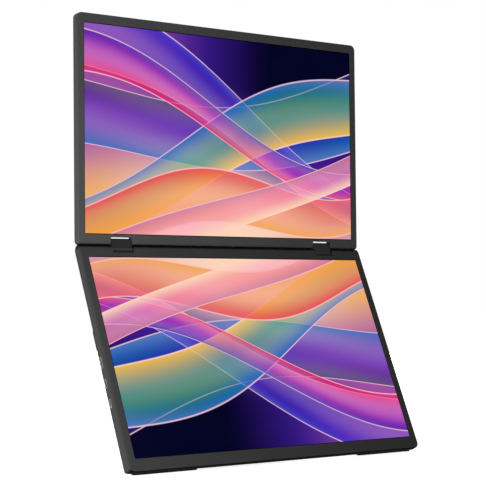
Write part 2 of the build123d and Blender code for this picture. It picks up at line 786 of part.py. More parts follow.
# Main board behind the lower display, with the sockets at its left edge
board_middle = (board_left + board_right) / 2
with BuildPart() as main_board:
    with BuildSketch(base_plane.offset(board_back)):
        with Locations((board_middle, (board_top + board_bottom) / 2)):
            RectangleRounded(board_width, board_top - board_bottom, board_corner)
        with Locations(board_screw_spots()):
            Circle(screw_radius + screw_hole_gap, mode=Mode.SUBTRACT)
    extrude(amount=board_thickness)
main_board.part.label = "main_board"
export_step(main_board.part, "parts/main_board.step")

with BuildPart() as main_board_chips:
    chip_w = (board_back - chip_height, board_back)
    for u in (video_u, oval_upper_u, oval_lower_u):
        chip_x = (board_middle - chip_size / 2, board_middle + chip_size / 2)
        block(base_plane, chip_x, (u - chip_size / 2, u + chip_size / 2), chip_w)
    plug_x = (lead_x - lead_plug_width / 2, lead_x + lead_plug_width / 2)
    plug_u = (board_top - lead_plug_length, board_top)
    block(base_plane, plug_x, plug_u, (board_back - lead_plug_height, board_back))
main_board_chips.part.label = "main_board_chips"
export_step(main_board_chips.part, "parts/main_board_chips.step")

with BuildPart() as main_board_screws:
    for x, u in board_screw_spots():
        screw(base_plane, x, u, board_front, board_screw_reach)
main_board_screws.part.label = "main_board_screws"
export_step(main_board_screws.part, "parts/main_board_screws.step")

# Sockets in the left side wall: a metal shell, closed behind, about a contact tongue
socket_x = socket_recess - half_width
for side, u in (("upper", oval_upper_u), ("lower", oval_lower_u)):
    with BuildPart() as oval_socket:
        with BuildSketch(side_of(base_plane, socket_x)):
            with Locations((u, oval_w)):
                SlotOverall(oval_width, oval_height)
        extrude(amount=socket_length)
        with BuildSketch(side_of(base_plane, socket_x)):
            with Locations((u, oval_w)):
                SlotOverall(oval_width - 2 * socket_shell, oval_height - 2 * socket_shell)
        extrude(amount=socket_mouth, mode=Mode.SUBTRACT)
        tongue_u = (u - oval_tongue_width / 2, u + oval_tongue_width / 2)
        tongue_w = (oval_w - tongue_thickness / 2, oval_w + tongue_thickness / 2)
        block(base_plane, (socket_x + tongue_setback, socket_x + socket_mouth), tongue_u, tongue_w)
    oval_socket.part.label = f"oval_socket_{side}"
    export_step(oval_socket.part, f"parts/oval_socket_{side}.step")

with BuildPart() as video_socket:
    with BuildSketch(side_of(base_plane, socket_x)):
        with Locations((video_u, video_w)):
            RectangleRounded(video_width, video_height, video_corner)
    extrude(amount=socket_length)
    with BuildSketch(side_of(base_plane, socket_x)):
        with Locations((video_u, video_w)):
            RectangleRounded(
                video_width - 2 * socket_shell,
                video_height - 2 * socket_shell,
                video_corner - socket_shell,
            )
    extrude(amount=socket_mouth, mode=Mode.SUBTRACT)
    tongue_u = (video_u - video_tongue_width / 2, video_u + video_tongue_width / 2)
    tongue_w = (video_w - tongue_thickness / 2, video_w + tongue_thickness / 2)
    block(base_plane, (socket_x + tongue_setback, socket_x + socket_mouth), tongue_u, tongue_w)
video_socket.part.label = "video_socket"
export_step(video_socket.part, "parts/video_socket.step")

# Driver board on the lid's rear cover
with BuildPart() as lid_driver_board:
    driver_u = (driver_rise - driver_height / 2, driver_rise + driver_height / 2)
    block(lid_plane, (-driver_width / 2, driver_width / 2), driver_u, (driver_back, driver_front))
    for x in driver_screw_spots():
        hole_w = (driver_back, driver_front)
        post(lid_plane, x, driver_rise, hole_w, screw_radius + screw_hole_gap, Mode.SUBTRACT)
lid_driver_board.part.label = "lid_driver_board"
export_step(lid_driver_board.part, "parts/lid_driver_board.step")

with BuildPart() as lid_driver_screws:
    for x in driver_screw_spots():
        screw(lid_plane, x, driver_rise, driver_front, driver_screw_reach)
lid_driver_screws.part.label = "lid_driver_screws"
export_step(lid_driver_screws.part, "parts/lid_driver_screws.step")

# Panel flexes, from each backlight to its circuit board
with BuildPart() as base_panel_flex:
    flex_start = board_top + flex_lie
    flex_leg = board_top - flex_inset
    flex_end = flex_leg - flex_land
    flex_w = (base_stack_back, board_front)
    route = panel_flex(base_plane, board_middle, flex_start, flex_leg, flex_end, flex_w)
    extrude(route, amount=flex_width / 2, both=True)
base_panel_flex.part.label = "base_panel_flex"
export_step(base_panel_flex.part, "parts/base_panel_flex.step")

with BuildPart() as lid_panel_flex:
    flex_start = driver_u[1] + flex_lie
    flex_leg = driver_u[1] - flex_inset
    flex_end = flex_leg - flex_land
    flex_w = (lid_stack_back, driver_front)
    route = panel_flex(lid_plane, 0, flex_start, flex_leg, flex_end, flex_w)
    extrude(route, amount=flex_width / 2, both=True)
lid_panel_flex.part.label = "lid_panel_flex"
export_step(lid_panel_flex.part, "parts/lid_panel_flex.step")

# Buttons in the right side wall, each over its own switch
for name, u in zip(button_names, button_places()):
    with BuildPart() as button:
        with BuildSketch(side_of(base_plane, button_seat - side_gap)):
            with Locations((u, button_w)):
                SlotOverall(button_length, button_height)
        extrude(amount=base_wall + side_gap + button_proud)
        fillet(button.faces().sort_by(Axis.X)[-1].edges(), button_round)
        with BuildSketch(side_of(base_plane, button_flange_back)):
            with Locations((u, button_w)):
                SlotOverall(button_length + 2 * button_flange_lip, button_height + 2 * button_flange_lip)
        extrude(amount=button_flange)
        rod(base_plane, (button_back, button_flange_back), u, button_w, button_stem_radius)
    button.part.label = f"{name}_button"
    export_step(button.part, f"parts/{name}_button.step")

with BuildPart() as button_switches:
    for u in button_places():
        body_x = (switch_front - switch_plunger - switch_depth, switch_front - switch_plunger)
        body_u = (u - switch_length / 2, u + switch_length / 2)
        block(base_plane, body_x, body_u, (button_w - switch_height / 2, button_w + switch_height / 2))
        rod(base_plane, (switch_front - switch_plunger, switch_front), u, button_w, switch_plunger_radius)
button_switches.part.label = "button_switches"
export_step(button_switches.part, "parts/button_switches.step")

with BuildPart() as button_board:
    board_u = (button_places()[-1] - button_board_margin, button_places()[0] + button_board_margin)
    board_x = (button_board_back, button_board_back + board_thickness)
    block(base_plane, board_x, board_u, (-bay_inner, button_board_height - bay_inner))
button_board.part.label = "button_board"
export_step(button_board.part, "parts/button_board.step")

# Stand: a flat plate with a barrel along its upper edge, sunk in the base's back when shut
plate_end = stand_tip + stand_foot_length
with BuildPart() as stand_plate:
    with BuildSketch(stand_plane.offset(stand_plate_back)):
        with Locations((0, plate_end / 2)):
            Rectangle(stand_width, -plate_end)
    extrude(amount=stand_thickness)
    stand_normal = Axis(stand_plane.origin, stand_plane.z_dir)
    fillet(stand_plate.edges().filter_by(stand_normal).group_by(Axis.Z)[0], stand_corner)
    rod(stand_plane, (-stand_half, stand_half), 0, 0, stand_barrel_radius)
    finger_x = (-finger_width / 2, finger_width / 2)
    finger_u = (stand_tip, plate_end + finger_depth)
    block(stand_plane, finger_x, finger_u, (stand_plate_back, 0), Mode.SUBTRACT)
    for sign in (-1, 1):
        pin_x = (sign * stand_half, sign * (stand_half - stand_pin_grip))
        rod(stand_plane, pin_x, 0, 0, stand_pin_radius + press_gap, Mode.SUBTRACT)
stand_plate.part.label = "stand_plate"
export_step(stand_plate.part, "parts/stand_plate.step")

with BuildPart() as stand_pins:
    for sign in (-1, 1):
        pin_x = (sign * (stand_half - stand_pin_grip), sign * (stand_half + stand_pin_reach))
        rod(stand_plane, pin_x, 0, 0, stand_pin_radius)
stand_pins.part.label = "stand_pins"
export_step(stand_pins.part, "parts/stand_pins.step")

with BuildPart() as stand_feet:
    foot_front = -(stand_z + stand_plate_front * stand_sin) / stand_cos
    for x in (finger_width / 2, stand_corner - stand_half):
        with BuildSketch(side_of(stand_plane, x)):
            with BuildLine():
                Polyline(
                    (plate_end, stand_plate_back),
                    (stand_tip, stand_plate_back),
                    (foot_front, stand_plate_front),
                    (plate_end, stand_plate_front),
                    close=True,
                )
            make_face()
        extrude(amount=stand_half - stand_corner - finger_width / 2)
stand_feet.part.label = "stand_feet"
export_step(stand_feet.part, "parts/stand_feet.step")

# Stand clutches inside the base: blocks that grip the stand's pins
for side, sign in (("left", -1), ("right", 1)):
    with BuildPart() as stand_clutch:
        clutch_x = (sign * clutch_inner, sign * clutch_outer)
        clutch_u = (stand_u - clutch_below, stand_u + clutch_above)
        clutch_w = (-base_inner, clutch_front)
        block(base_plane, clutch_x, clutch_u, clutch_w)
        rod(base_plane, clutch_x, stand_u, stand_w, stand_pin_radius + running_gap, Mode.SUBTRACT)
        for x, u in clutch_screw_spots(sign):
            post(base_plane, x, u, clutch_w, screw_radius + screw_hole_gap, Mode.SUBTRACT)
    stand_clutch.part.label = f"stand_clutch_{side}"
    export_step(stand_clutch.part, f"parts/stand_clutch_{side}.step")

with BuildPart() as stand_clutch_screws:
    for x, u in clutch_screw_spots(-1) + clutch_screw_spots(1):
        screw(base_plane, x, u, clutch_front, clutch_screw_reach)
stand_clutch_screws.part.label = "stand_clutch_screws"
export_step(stand_clutch_screws.part, "parts/stand_clutch_screws.step")

# Rubber feet on the bevel, level with the table
for side, sign in (("left", -1), ("right", 1)):
    with BuildPart() as bottom_foot:
        with BuildSketch(Plane.XY):
            with Locations((sign * foot_x, foot_y)):
                SlotOverall(foot_length, foot_width)
        extrude(amount=foot_height)
        fillet(bottom_foot.faces().sort_by(Axis.Z)[0].edges(), foot_round)
    bottom_foot.part.label = f"bottom_foot_{side}"
    export_step(bottom_foot.part, f"parts/bottom_foot_{side}.step")
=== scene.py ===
import json
import math

import bmesh
import bpy
from mathutils import Matrix, Vector


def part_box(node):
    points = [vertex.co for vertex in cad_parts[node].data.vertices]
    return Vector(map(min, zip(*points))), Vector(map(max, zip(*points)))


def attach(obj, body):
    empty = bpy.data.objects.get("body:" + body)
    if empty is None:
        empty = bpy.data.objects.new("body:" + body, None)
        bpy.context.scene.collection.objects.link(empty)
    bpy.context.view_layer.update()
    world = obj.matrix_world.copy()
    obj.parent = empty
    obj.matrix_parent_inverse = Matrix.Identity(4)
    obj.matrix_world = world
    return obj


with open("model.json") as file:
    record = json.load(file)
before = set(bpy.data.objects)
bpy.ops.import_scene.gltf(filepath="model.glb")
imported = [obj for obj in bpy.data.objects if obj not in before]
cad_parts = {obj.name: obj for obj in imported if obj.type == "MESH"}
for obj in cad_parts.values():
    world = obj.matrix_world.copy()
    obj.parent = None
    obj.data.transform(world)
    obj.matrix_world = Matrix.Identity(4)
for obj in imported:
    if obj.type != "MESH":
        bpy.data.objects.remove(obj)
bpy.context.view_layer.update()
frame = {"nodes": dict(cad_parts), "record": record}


# Rear covers of the base and the lid: shallow aluminium trays, pressed, blasted to a fine even grain and
# coated dark grey; the base's is a darker copy, as painted shade. Each carries the rest of its panel on its
# bosses, and its rim is the panel's side wall. Painted shade in matt black lies on the round hinge edges,
# where the panels meet in a crease, and on the base's bottom wall where it faces down.
def srgb(red, green, blue):
    """Linear colour of a tint that is given as it looks on a screen, from 0 to 255."""
    shares = [value / 255 for value in (red, green, blue)]
    return tuple(s / 12.92 if s <= 0.04045 else ((s + 0.055) / 1.055) ** 2.4 for s in shares) + (1.0,)


def feed(tree, socket, value):
    """Links another node's output to a socket, or sets a plain value on it."""
    if isinstance(value, bpy.types.NodeSocket):
        tree.links.new(value, socket)
    else:
        socket.default_value = value


def add_node(tree, kind, inputs, **settings):
    """Adds a shader node with its settings and its inputs, by name or by number."""
    node = tree.nodes.new(kind)
    for name, value in settings.items():
        setattr(node, name, value)
    for name, value in inputs.items():
        feed(tree, node.inputs[name], value)
    return node


def calculate(tree, operation, *values):
    """The result of one sum on numbers."""
    return add_node(tree, "ShaderNodeMath", dict(enumerate(values)), operation=operation).outputs[0]


def along(tree, place, direction):
    """How far a place lies along a direction."""
    node = add_node(tree, "ShaderNodeVectorMath", {0: place, 1: direction}, operation="DOT_PRODUCT")
    return node.outputs["Value"]


def between(tree, value, start, end, low=0.0, high=1.0):
    """A smooth rise from low to high while a value goes from start to end."""
    inputs = {"Value": value, "From Min": start, "From Max": end, "To Min": low, "To Max": high}
    return add_node(tree, "ShaderNodeMapRange", inputs, interpolation_type="SMOOTHSTEP").outputs["Result"]


def blend(tree, share, first, second):
    """The first colour, mixed with a share of the second."""
    return add_node(tree, "ShaderNodeMix", {0: share, 6: first, 7: second}, data_type="RGBA").outputs[2]


def own_place(tree):
    """Where a point lies on its piece, in metres, however the piece has moved."""
    return add_node(tree, "ShaderNodeTexCoord", {}).outputs["Object"]


def way_from(tree, point):
    """The way from a fixed point to where a point lies on its piece."""
    inputs = {0: own_place(tree), 1: point}
    return add_node(tree, "ShaderNodeVectorMath", inputs, operation="SUBTRACT").outputs["Vector"]


def clouds(tree, place, size, detail):
    """Soft uneven patches of about a size, from 0 to 1."""
    inputs = {"Vector": place, "Scale": 1.0 / size, "Detail": detail, "Roughness": 0.6}
    return add_node(tree, "ShaderNodeTexNoise", inputs).outputs[0]


def start_group(name, inputs, outputs):
    """Starts a node group with named sockets, and gives its tree and the sockets to work between."""
    tree = bpy.data.node_groups.new(name, "ShaderNodeTree")
    for label, kind in inputs.items():
        tree.interface.new_socket(label, in_out="INPUT", socket_type="NodeSocket" + kind)
    for label, kind in outputs.items():
        tree.interface.new_socket(label, in_out="OUTPUT", socket_type="NodeSocket" + kind)
    return tree, tree.nodes.new("NodeGroupInput").outputs, tree.nodes.new("NodeGroupOutput").inputs


def place_group(tree, group, inputs):
    """Places a node group with its own values, and gives its outputs."""
    node = tree.nodes.new("ShaderNodeGroup")
    node.node_tree = group
    for name, value in inputs.items():
        feed(tree, node.inputs[name], value)
    return node.outputs


def new_finish(name, shader_values):
    """A new material, with its node tree and its shader."""
    material = bpy.data.materials.new(name)
    material.use_nodes = True
    shader = material.node_tree.nodes["Principled BSDF"]
    for label, value in shader_values.items():
        shader.inputs[label].default_value = value
    return material, material.node_tree, shader


def dress(material, *nodes):
    """Gives the frame's pieces their finish."""
    for node in nodes:
        for slot in frame["nodes"][node].material_slots:
            slot.material = material


def emboss(tree, shader, height, depth, strength, normal=None):
    """Raises the surface by up to a depth where a height goes from 0 to 1."""
    inputs = {"Height": height, "Distance": depth, "Strength": strength}
    if normal is not None:
        inputs["Normal"] = normal
    feed(tree, shader.inputs["Normal"], add_node(tree, "ShaderNodeBump", inputs).outputs[0])


fine_grain, given, result = start_group(
    "fine_grain", {"Grain": "Float", "Patch": "Float"}, {"Height": "Float", "Tone": "Float"}
)
place = own_place(fine_grain)
grain_scale = calculate(fine_grain, "DIVIDE", 1.0, given["Grain"])
patch_scale = calculate(fine_grain, "DIVIDE", 1.0, given["Patch"])
grain_inputs = {"Vector": place, "Scale": grain_scale, "Detail": 3.0, "Roughness": 0.6}
patch_inputs = {"Vector": place, "Scale": patch_scale, "Detail": 4.0, "Roughness": 0.55}
feed(fine_grain, result["Height"], add_node(fine_grain, "ShaderNodeTexNoise", grain_inputs).outputs[0])
patches = add_node(fine_grain, "ShaderNodeTexNoise", patch_inputs).outputs[0]
feed(fine_grain, result["Tone"], between(fine_grain, patches, 0.32, 0.68))

soft_edges, given, result = start_group(
    "soft_edges", {"Radius": "Float"}, {"Normal": "Vector", "Wear": "Float"}
)
rub_size = 0.006
rounded = add_node(soft_edges, "ShaderNodeBevel", {"Radius": given["Radius"]}, samples=6).outputs[0]
plain = add_node(soft_edges, "ShaderNodeNewGeometry", {}).outputs["Normal"]
edge = between(soft_edges, along(soft_edges, rounded, plain), 0.985, 0.86)
rubbed = between(soft_edges, clouds(soft_edges, own_place(soft_edges), rub_size, 4.0), 0.36, 0.66)
feed(soft_edges, result["Normal"], rounded)
feed(soft_edges, result["Wear"], calculate(soft_edges, "MULTIPLY", edge, rubbed))


def grained_finish(name, deep, bright, worn, grain, depth, rough, shader_values, masks=()):
    """A finish with fine grain, slow changes of tone, and softened edges that are rubbed to another tint.

    Each mask paints shade on a part of it, in matt black.
    """
    tone_patch = 0.05
    edge_radius = 0.0003
    painted_shade_black = srgb(4, 4, 5)
    material, tree, shader = new_finish(name, shader_values)
    skin = place_group(tree, fine_grain, {"Grain": grain, "Patch": tone_patch})
    edges = place_group(tree, soft_edges, {"Radius": edge_radius})
    colour = blend(tree, skin["Tone"], deep, bright)
    colour = blend(tree, edges["Wear"], colour, worn)
    dullness = between(tree, skin["Tone"], 0.0, 1.0, *rough)
    # Painted shade: each mask blends matt black into the colour and makes it dull.
    for mask, mask_inputs in masks:
        painted_shade = place_group(tree, mask, mask_inputs)["Black"]
        colour = blend(tree, painted_shade, colour, painted_shade_black)
        dullness = calculate(tree, "MAXIMUM", dullness, painted_shade)
    feed(tree, shader.inputs["Base Color"], colour)
    feed(tree, shader.inputs["Roughness"], dullness)
    emboss(tree, shader, skin["Height"], depth, strength=0.6, normal=edges["Normal"])
    return material


# Painted shade: a matt black band on the round hinge edges, where the crease between the panels lies in
# shade.
hinge_crease_shade, given, result = start_group(
    "hinge_crease_shade",
    {"Axis": "Vector", "Toward": "Vector", "Start": "Float", "Full": "Float"},
    {"Black": "Float"},
)
past_axis = along(hinge_crease_shade, way_from(hinge_crease_shade, given["Axis"]), given["Toward"])
feed(hinge_crease_shade, result["Black"], between(hinge_crease_shade, past_axis, given["Start"], given["Full"]))

# Painted shade: matt black on the base's bottom wall, where it faces down towards the floor.
wall_reach = 0.010
underside_shade, given, result = start_group(
    "underside_shade", {"Axis": "Vector", "Down": "Vector", "Depth": "Float"}, {"Black": "Float"}
)
below_axis = along(underside_shade, way_from(underside_shade, given["Axis"]), given["Down"])
above_bottom = calculate(underside_shade, "SUBTRACT", given["Depth"], below_axis)
near_bottom = between(underside_shade, above_bottom, wall_reach, wall_reach * 0.8)
own_normal = add_node(underside_shade, "ShaderNodeTexCoord", {}).outputs["Normal"]
turned_down = between(underside_shade, along(underside_shade, own_normal, given["Down"]), 0.35, 0.6)
feed(underside_shade, result["Black"], calculate(underside_shade, "MULTIPLY", near_bottom, turned_down))


def leaning(degrees):
    """The way up along a panel that leans back."""
    lean = math.radians(degrees)
    return Vector((0.0, math.sin(lean), math.cos(lean)))


to_right = Vector((1.0, 0.0, 0.0))
base_up = leaning(27.5)
base_out = to_right.cross(base_up)
lid_up = leaning(2.5)
joints = frame["record"]["behaviour"]["joints"]
axes = {joint["name"]: Vector(joint["pos_m"]) for joint in joints if "pos_m" in joint}
cover_points = frame["nodes"]["base_rear_cover"].data.vertices
base_depth = max((axes["link_fold"] - point.co).dot(base_up) for point in cover_points)
# Bands of painted shade on the lid's lower hinge edge and on the base's upper hinge edge.
lid_hinge = {"Axis": axes["lid_fold"], "Toward": -lid_up, "Start": 0.0030, "Full": 0.0040}
base_hinge = {"Axis": axes["link_fold"], "Toward": base_up, "Start": -0.0002, "Full": 0.0034}
# The painted shade on the base's downward-facing bottom wall.
base_bottom = {"Axis": axes["link_fold"], "Down": -base_up, "Depth": base_depth}
lid_shade_masks = [(hinge_crease_shade, lid_hinge)]
base_shade_masks = [(hinge_crease_shade, base_hinge), (underside_shade, base_bottom)]
lid_coat = grained_finish(
    "lid_coat", srgb(53, 53, 54), srgb(56, 56, 57), worn=srgb(82, 82, 83),
    grain=0.00022, depth=0.00005, rough=(0.48, 0.53), shader_values={"Specular IOR Level": 0.12},
    masks=lid_shade_masks,
)
dress(lid_coat, "lid_rear_cover")
# Painted shade: the base's coat is a darker copy of the lid's coat.
shaded_base_coat = grained_finish(
    "shaded_base_coat", srgb(41, 41, 42), srgb(44, 44, 45), worn=srgb(69, 69, 70),
    grain=0.00022, depth=0.00005, rough=(0.48, 0.53), shader_values={"Specular IOR Level": 0.12},
    masks=base_shade_masks,
)
dress(shaded_base_coat, "base_rear_cover")


# Circuit boards: the main board beside the sockets, the lid's driver board and the strip behind the buttons.
# They are glass fibre with a green solder mask over copper tracks, and are screwed or slid onto the covers.
def set_roughness(tree, shader, tone, smooth, dull):
    """Roughness that goes from smooth to dull with a tone from 0 to 1."""
    feed(tree, shader.inputs["Roughness"], between(tree, tone, 0.0, 1.0, smooth, dull))


def striped(tree, place, direction, pitch):
    """Even bands across a direction, from 0 to 1."""
    turns = calculate(tree, "MULTIPLY", along(tree, place, direction), 2.0 * math.pi / pitch)
    return calculate(tree, "MULTIPLY_ADD", calculate(tree, "SINE", turns), 0.5, 0.5)


track_pitch = 0.0011
fields_per_metre = 110.0
solder_mask, tree, shader = new_finish("solder_mask", {"Specular IOR Level": 0.5, "Coat Weight": 0.2})
place = own_place(tree)
field_inputs = {"Vector": place, "Scale": fields_per_metre}
fields = add_node(tree, "ShaderNodeTexVoronoi", field_inputs, distance="MANHATTAN")
turned = between(tree, along(tree, fields.outputs["Color"], (1.0, 0.0, 0.0)), 0.49, 0.51)
across_tracks = striped(tree, place, to_right, track_pitch)
up_tracks = striped(tree, place, base_up, track_pitch)
kept_across = calculate(tree, "MULTIPLY", across_tracks, calculate(tree, "SUBTRACT", 1.0, turned))
tracks = calculate(tree, "MULTIPLY_ADD", up_tracks, turned, kept_across)
copper_below = between(tree, tracks, 0.62, 0.7)
skin = place_group(tree, fine_grain, {"Grain": 0.0004, "Patch": 0.02})
mask_tint = blend(tree, skin["Tone"], srgb(12, 66, 40), srgb(18, 78, 48))
feed(tree, shader.inputs["Base Color"], blend(tree, copper_below, mask_tint, srgb(36, 112, 62)))
set_roughness(tree, shader, skin["Tone"], smooth=0.24, dull=0.36)
emboss(tree, shader, copper_below, depth=0.00004, strength=0.5)
dress(solder_mask, "main_board", "lid_driver_board", "button_board")


# Chips on the main board and the switches behind the buttons: black moulded epoxy and nylon bodies that are
# soldered to their boards. Their tops are left without print.
black_epoxy = grained_finish(
    "black_epoxy", srgb(24, 24, 26), srgb(31, 31, 33), worn=srgb(58, 58, 60),
    grain=0.00012, depth=0.00002, rough=(0.52, 0.66), shader_values={"Specular IOR Level": 0.35},
)
dress(black_epoxy, "main_board_chips", "button_switches")


# Sockets in the left side wall: one for small video plugs and two for reversible power and data plugs.
# Each is a folded nickel-plated shell, soldered to the main board, about a black tongue with gilt contacts.
tongue_mask, given, result = start_group(
    "tongue_mask", {"Mouth": "Vector", "Half Width": "Float"}, {"Tongue": "Float"}
)
tongue_half_thickness = 0.00035
tongue_skin = 0.00004
from_mouth = way_from(tongue_mask, given["Mouth"])
off_middle = calculate(tongue_mask, "ABSOLUTE", along(tongue_mask, from_mouth, base_up))
off_plane = calculate(tongue_mask, "ABSOLUTE", along(tongue_mask, from_mouth, base_out))
past_side = calculate(tongue_mask, "SUBTRACT", off_middle, given["Half Width"])
within_width = between(tongue_mask, past_side, tongue_skin * 2, tongue_skin)
past_face = calculate(tongue_mask, "SUBTRACT", off_plane, tongue_half_thickness)
within_depth = between(tongue_mask, past_face, tongue_skin * 2, tongue_skin)
feed(tongue_mask, result["Tongue"], calculate(tongue_mask, "MULTIPLY", within_width, within_depth))


def new_piece(name, shape, material):
    """A piece with its finish, made from a shape that is used up."""
    mesh = bpy.data.meshes.new(name)
    shape.to_mesh(mesh)
    shape.free()
    mesh.materials.append(material)
    piece = bpy.data.objects.new(name, mesh)
    bpy.context.scene.collection.objects.link(piece)
    return piece


gilt, tree, shader = new_finish("gilt", {"Metallic": 1.0})
skin = place_group(tree, fine_grain, {"Grain": 0.0003, "Patch": 0.002})
feed(tree, shader.inputs["Base Color"], blend(tree, skin["Tone"], srgb(226, 184, 104), srgb(240, 204, 128)))
set_roughness(tree, shader, skin["Tone"], smooth=0.2, dull=0.34)

strip_length = 0.0032
strip_thickness = 0.00012
tongue_setback = 0.0010
strip_lift = strip_thickness / 4
video_tongue = {"width": 0.0082, "contacts": 19, "pitch": 0.0004, "strip": 0.00022}
oval_tongue = {"width": 0.0067, "contacts": 12, "pitch": 0.0005, "strip": 0.00028}
sockets = {"video_socket": video_tongue, "oval_socket_upper": oval_tongue, "oval_socket_lower": oval_tongue}
mouths = {mount["name"]: Vector(mount["pos_m"]) for mount in frame["record"]["mounts"]}
tongue_axes = Matrix((to_right, base_up, base_out)).transposed().to_4x4()
for node, tongue in sockets.items():
    mouth = mouths[node + "_mouth"]
    nickel, tree, shader = new_finish(node + "_nickel", {"Specular IOR Level": 0.4})
    skin = place_group(tree, fine_grain, {"Grain": 0.0005, "Patch": 0.004})
    mask_inputs = {"Mouth": mouth, "Half Width": tongue["width"] / 2}
    on_tongue = place_group(tree, tongue_mask, mask_inputs)["Tongue"]
    plated = blend(tree, skin["Tone"], srgb(214, 215, 216), srgb(230, 231, 232))
    feed(tree, shader.inputs["Base Color"], blend(tree, on_tongue, plated, srgb(20, 20, 22)))
    feed(tree, shader.inputs["Metallic"], calculate(tree, "SUBTRACT", 1.0, on_tongue))
    set_roughness(tree, shader, skin["Tone"], smooth=0.42, dull=0.54)
    emboss(tree, shader, skin["Height"], depth=0.00002, strength=0.3)
    dress(nickel, node)

    strips = bmesh.new()
    for face in (-1, 1):
        for step in range(tongue["contacts"]):
            sideways = (step - (tongue["contacts"] - 1) / 2) * tongue["pitch"]
            rise = face * (tongue_half_thickness + strip_lift)
            inwards = tongue_setback + strip_length / 2
            middle = mouth + tongue_axes.to_3x3() @ Vector((inwards, sideways, rise))
            size = Matrix.Diagonal((strip_length, tongue["strip"], strip_thickness, 1.0))
            bmesh.ops.create_cube(strips, size=1.0, matrix=Matrix.Translation(middle) @ tongue_axes @ size)
    bmesh.ops.bevel(strips, geom=strips.edges[:], offset=strip_thickness / 4, segments=1, affect="EDGES")
    contacts = new_piece(node + "_contacts", strips, gilt)
    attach(contacts, "base")


# Hinge brackets and stand clutches: plain oiled steel, screwed to bosses in the covers. The brackets are
# folded about the hinge shafts, and the clutches are blocks that grip the stand's pins.
oiled_steel = grained_finish(
    "oiled_steel", srgb(158, 160, 162), srgb(186, 188, 190), worn=srgb(214, 214, 212),
    grain=0.0009, depth=0.00003, rough=(0.3, 0.44), shader_values={"Metallic": 1.0},
)
dress(oiled_steel, "base_hinge_bracket_left", "base_hinge_bracket_right", "lid_hinge_bracket_left")
dress(oiled_steel, "lid_hinge_bracket_right", "stand_clutch_left", "stand_clutch_right")


# Hinge shafts, their nuts and the stand's pins: steel, turned from bar across the object, which leaves fine
# rings. The shafts turn in the brackets, and the nuts press the friction washers together.
def turned_finish(name, deep, bright, ring_pitch, rough):
    """Metal that was turned on a lathe about the left to right direction."""
    material, tree, shader = new_finish(name, {"Metallic": 1.0})
    place = own_place(tree)
    rings = striped(tree, place, to_right, ring_pitch)
    skin = place_group(tree, fine_grain, {"Grain": 0.0004, "Patch": 0.006})
    feed(tree, shader.inputs["Base Color"], blend(tree, skin["Tone"], deep, bright))
    set_roughness(tree, shader, skin["Tone"], *rough)
    emboss(tree, shader, rings, depth=ring_pitch / 8, strength=0.35)
    return material


turned_steel = turned_finish(
    "turned_steel", srgb(166, 168, 172), srgb(190, 192, 196), ring_pitch=0.00018, rough=(0.22, 0.34)
)
dress(turned_steel, "base_hinge_shaft_left", "base_hinge_shaft_right", "lid_hinge_shaft_left")
dress(turned_steel, "lid_hinge_shaft_right", "shaft_nuts", "stand_pins")


# Friction washers: bronze discs, stamped and lapped, stacked on the hinge shafts beside the brackets.
# They give the lid its steady drag.
lapped_bronze = turned_finish(
    "lapped_bronze", srgb(160, 112, 62), srgb(184, 134, 80), ring_pitch=0.0003, rough=(0.32, 0.46)
)
dress(lapped_bronze, "friction_washers")


# Screws of the brackets, boards and clutches: small steel screws, cold headed, rolled and plated with
# zinc. Each one is driven into a boss of its cover.
plated_screw = grained_finish(
    "plated_screw", srgb(176, 174, 168), srgb(200, 198, 192), worn=srgb(224, 222, 216),
    grain=0.0003, depth=0.00001, rough=(0.24, 0.36), shader_values={"Metallic": 1.0},
)
dress(plated_screw, "base_hinge_screws", "lid_hinge_screws", "main_board_screws", "lid_driver_screws")
dress(plated_screw, "stand_clutch_screws")


# Signal lead between the panels: a thin round cable with a soft black jacket over twisted cores. It runs
# from the main board through the left hinge link, and ends at the lid's driver board.
soft_jacket = grained_finish(
    "soft_jacket", srgb(26, 26, 28), srgb(34, 34, 36), worn=srgb(52, 52, 54),
    grain=0.0006, depth=0.00004, rough=(0.58, 0.7), shader_values={"Specular IOR Level": 0.3},
)
dress(soft_jacket, "base_lead", "link_lead", "lid_lead")


# Panel flexes: thin amber film with printed copper tracks. Each joins a display cell to its board, and is
# folded round the back of the cell.
amber_film, tree, shader = new_finish("amber_film", {"Specular IOR Level": 0.45})
place = own_place(tree)
film_pitch = 0.0008
film_tracks = between(tree, striped(tree, place, to_right, film_pitch), 0.45, 0.6)
skin = place_group(tree, fine_grain, {"Grain": 0.0006, "Patch": 0.01})
film_tint = blend(tree, skin["Tone"], srgb(176, 104, 30), srgb(196, 120, 40))
feed(tree, shader.inputs["Base Color"], blend(tree, film_tracks, film_tint, srgb(150, 82, 28)))
set_roughness(tree, shader, skin["Tone"], smooth=0.26, dull=0.38)
emboss(tree, shader, film_tracks, depth=0.00003, strength=0.5)
dress(amber_film, "base_panel_flex", "lid_panel_flex")


# Backlights: white moulded trays with a light guide, whose printed dots spread the light evenly. Each one
# lies behind its display cell.
white_guide, tree, shader = new_finish("white_guide", {"Specular IOR Level": 0.4})
dots_per_metre = 700.0
dot_inputs = {"Vector": own_place(tree), "Scale": dots_per_metre, "Randomness": 0.0}
to_dot = add_node(tree, "ShaderNodeTexVoronoi", dot_inputs).outputs["Distance"]
dots = between(tree, to_dot, 0.34, 0.28)
skin = place_group(tree, fine_grain, {"Grain": 0.0008, "Patch": 0.04})
guide_tint = blend(tree, skin["Tone"], srgb(226, 228, 230), srgb(236, 238, 240))
feed(tree, shader.inputs["Base Color"], blend(tree, dots, guide_tint, srgb(246, 247, 248)))
set_roughness(tree, shader, skin["Tone"], smooth=0.4, dull=0.52)
emboss(tree, shader, dots, depth=0.00003, strength=0.4)
dress(white_guide, "base_backlight", "lid_backlight")


# Display cells: thin glass with a black printed border and a fine anti-glare face, laid on the backlights.
# They show a generic design of overlapping silk sheets, the right way up on the lid and turned on the base.
border = 0.0018
cell_low, cell_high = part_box("lid_display_cell")
lit_width = cell_high.x - cell_low.x - 2 * border
screen_aspect = 1.6
lit_height = lit_width / screen_aspect

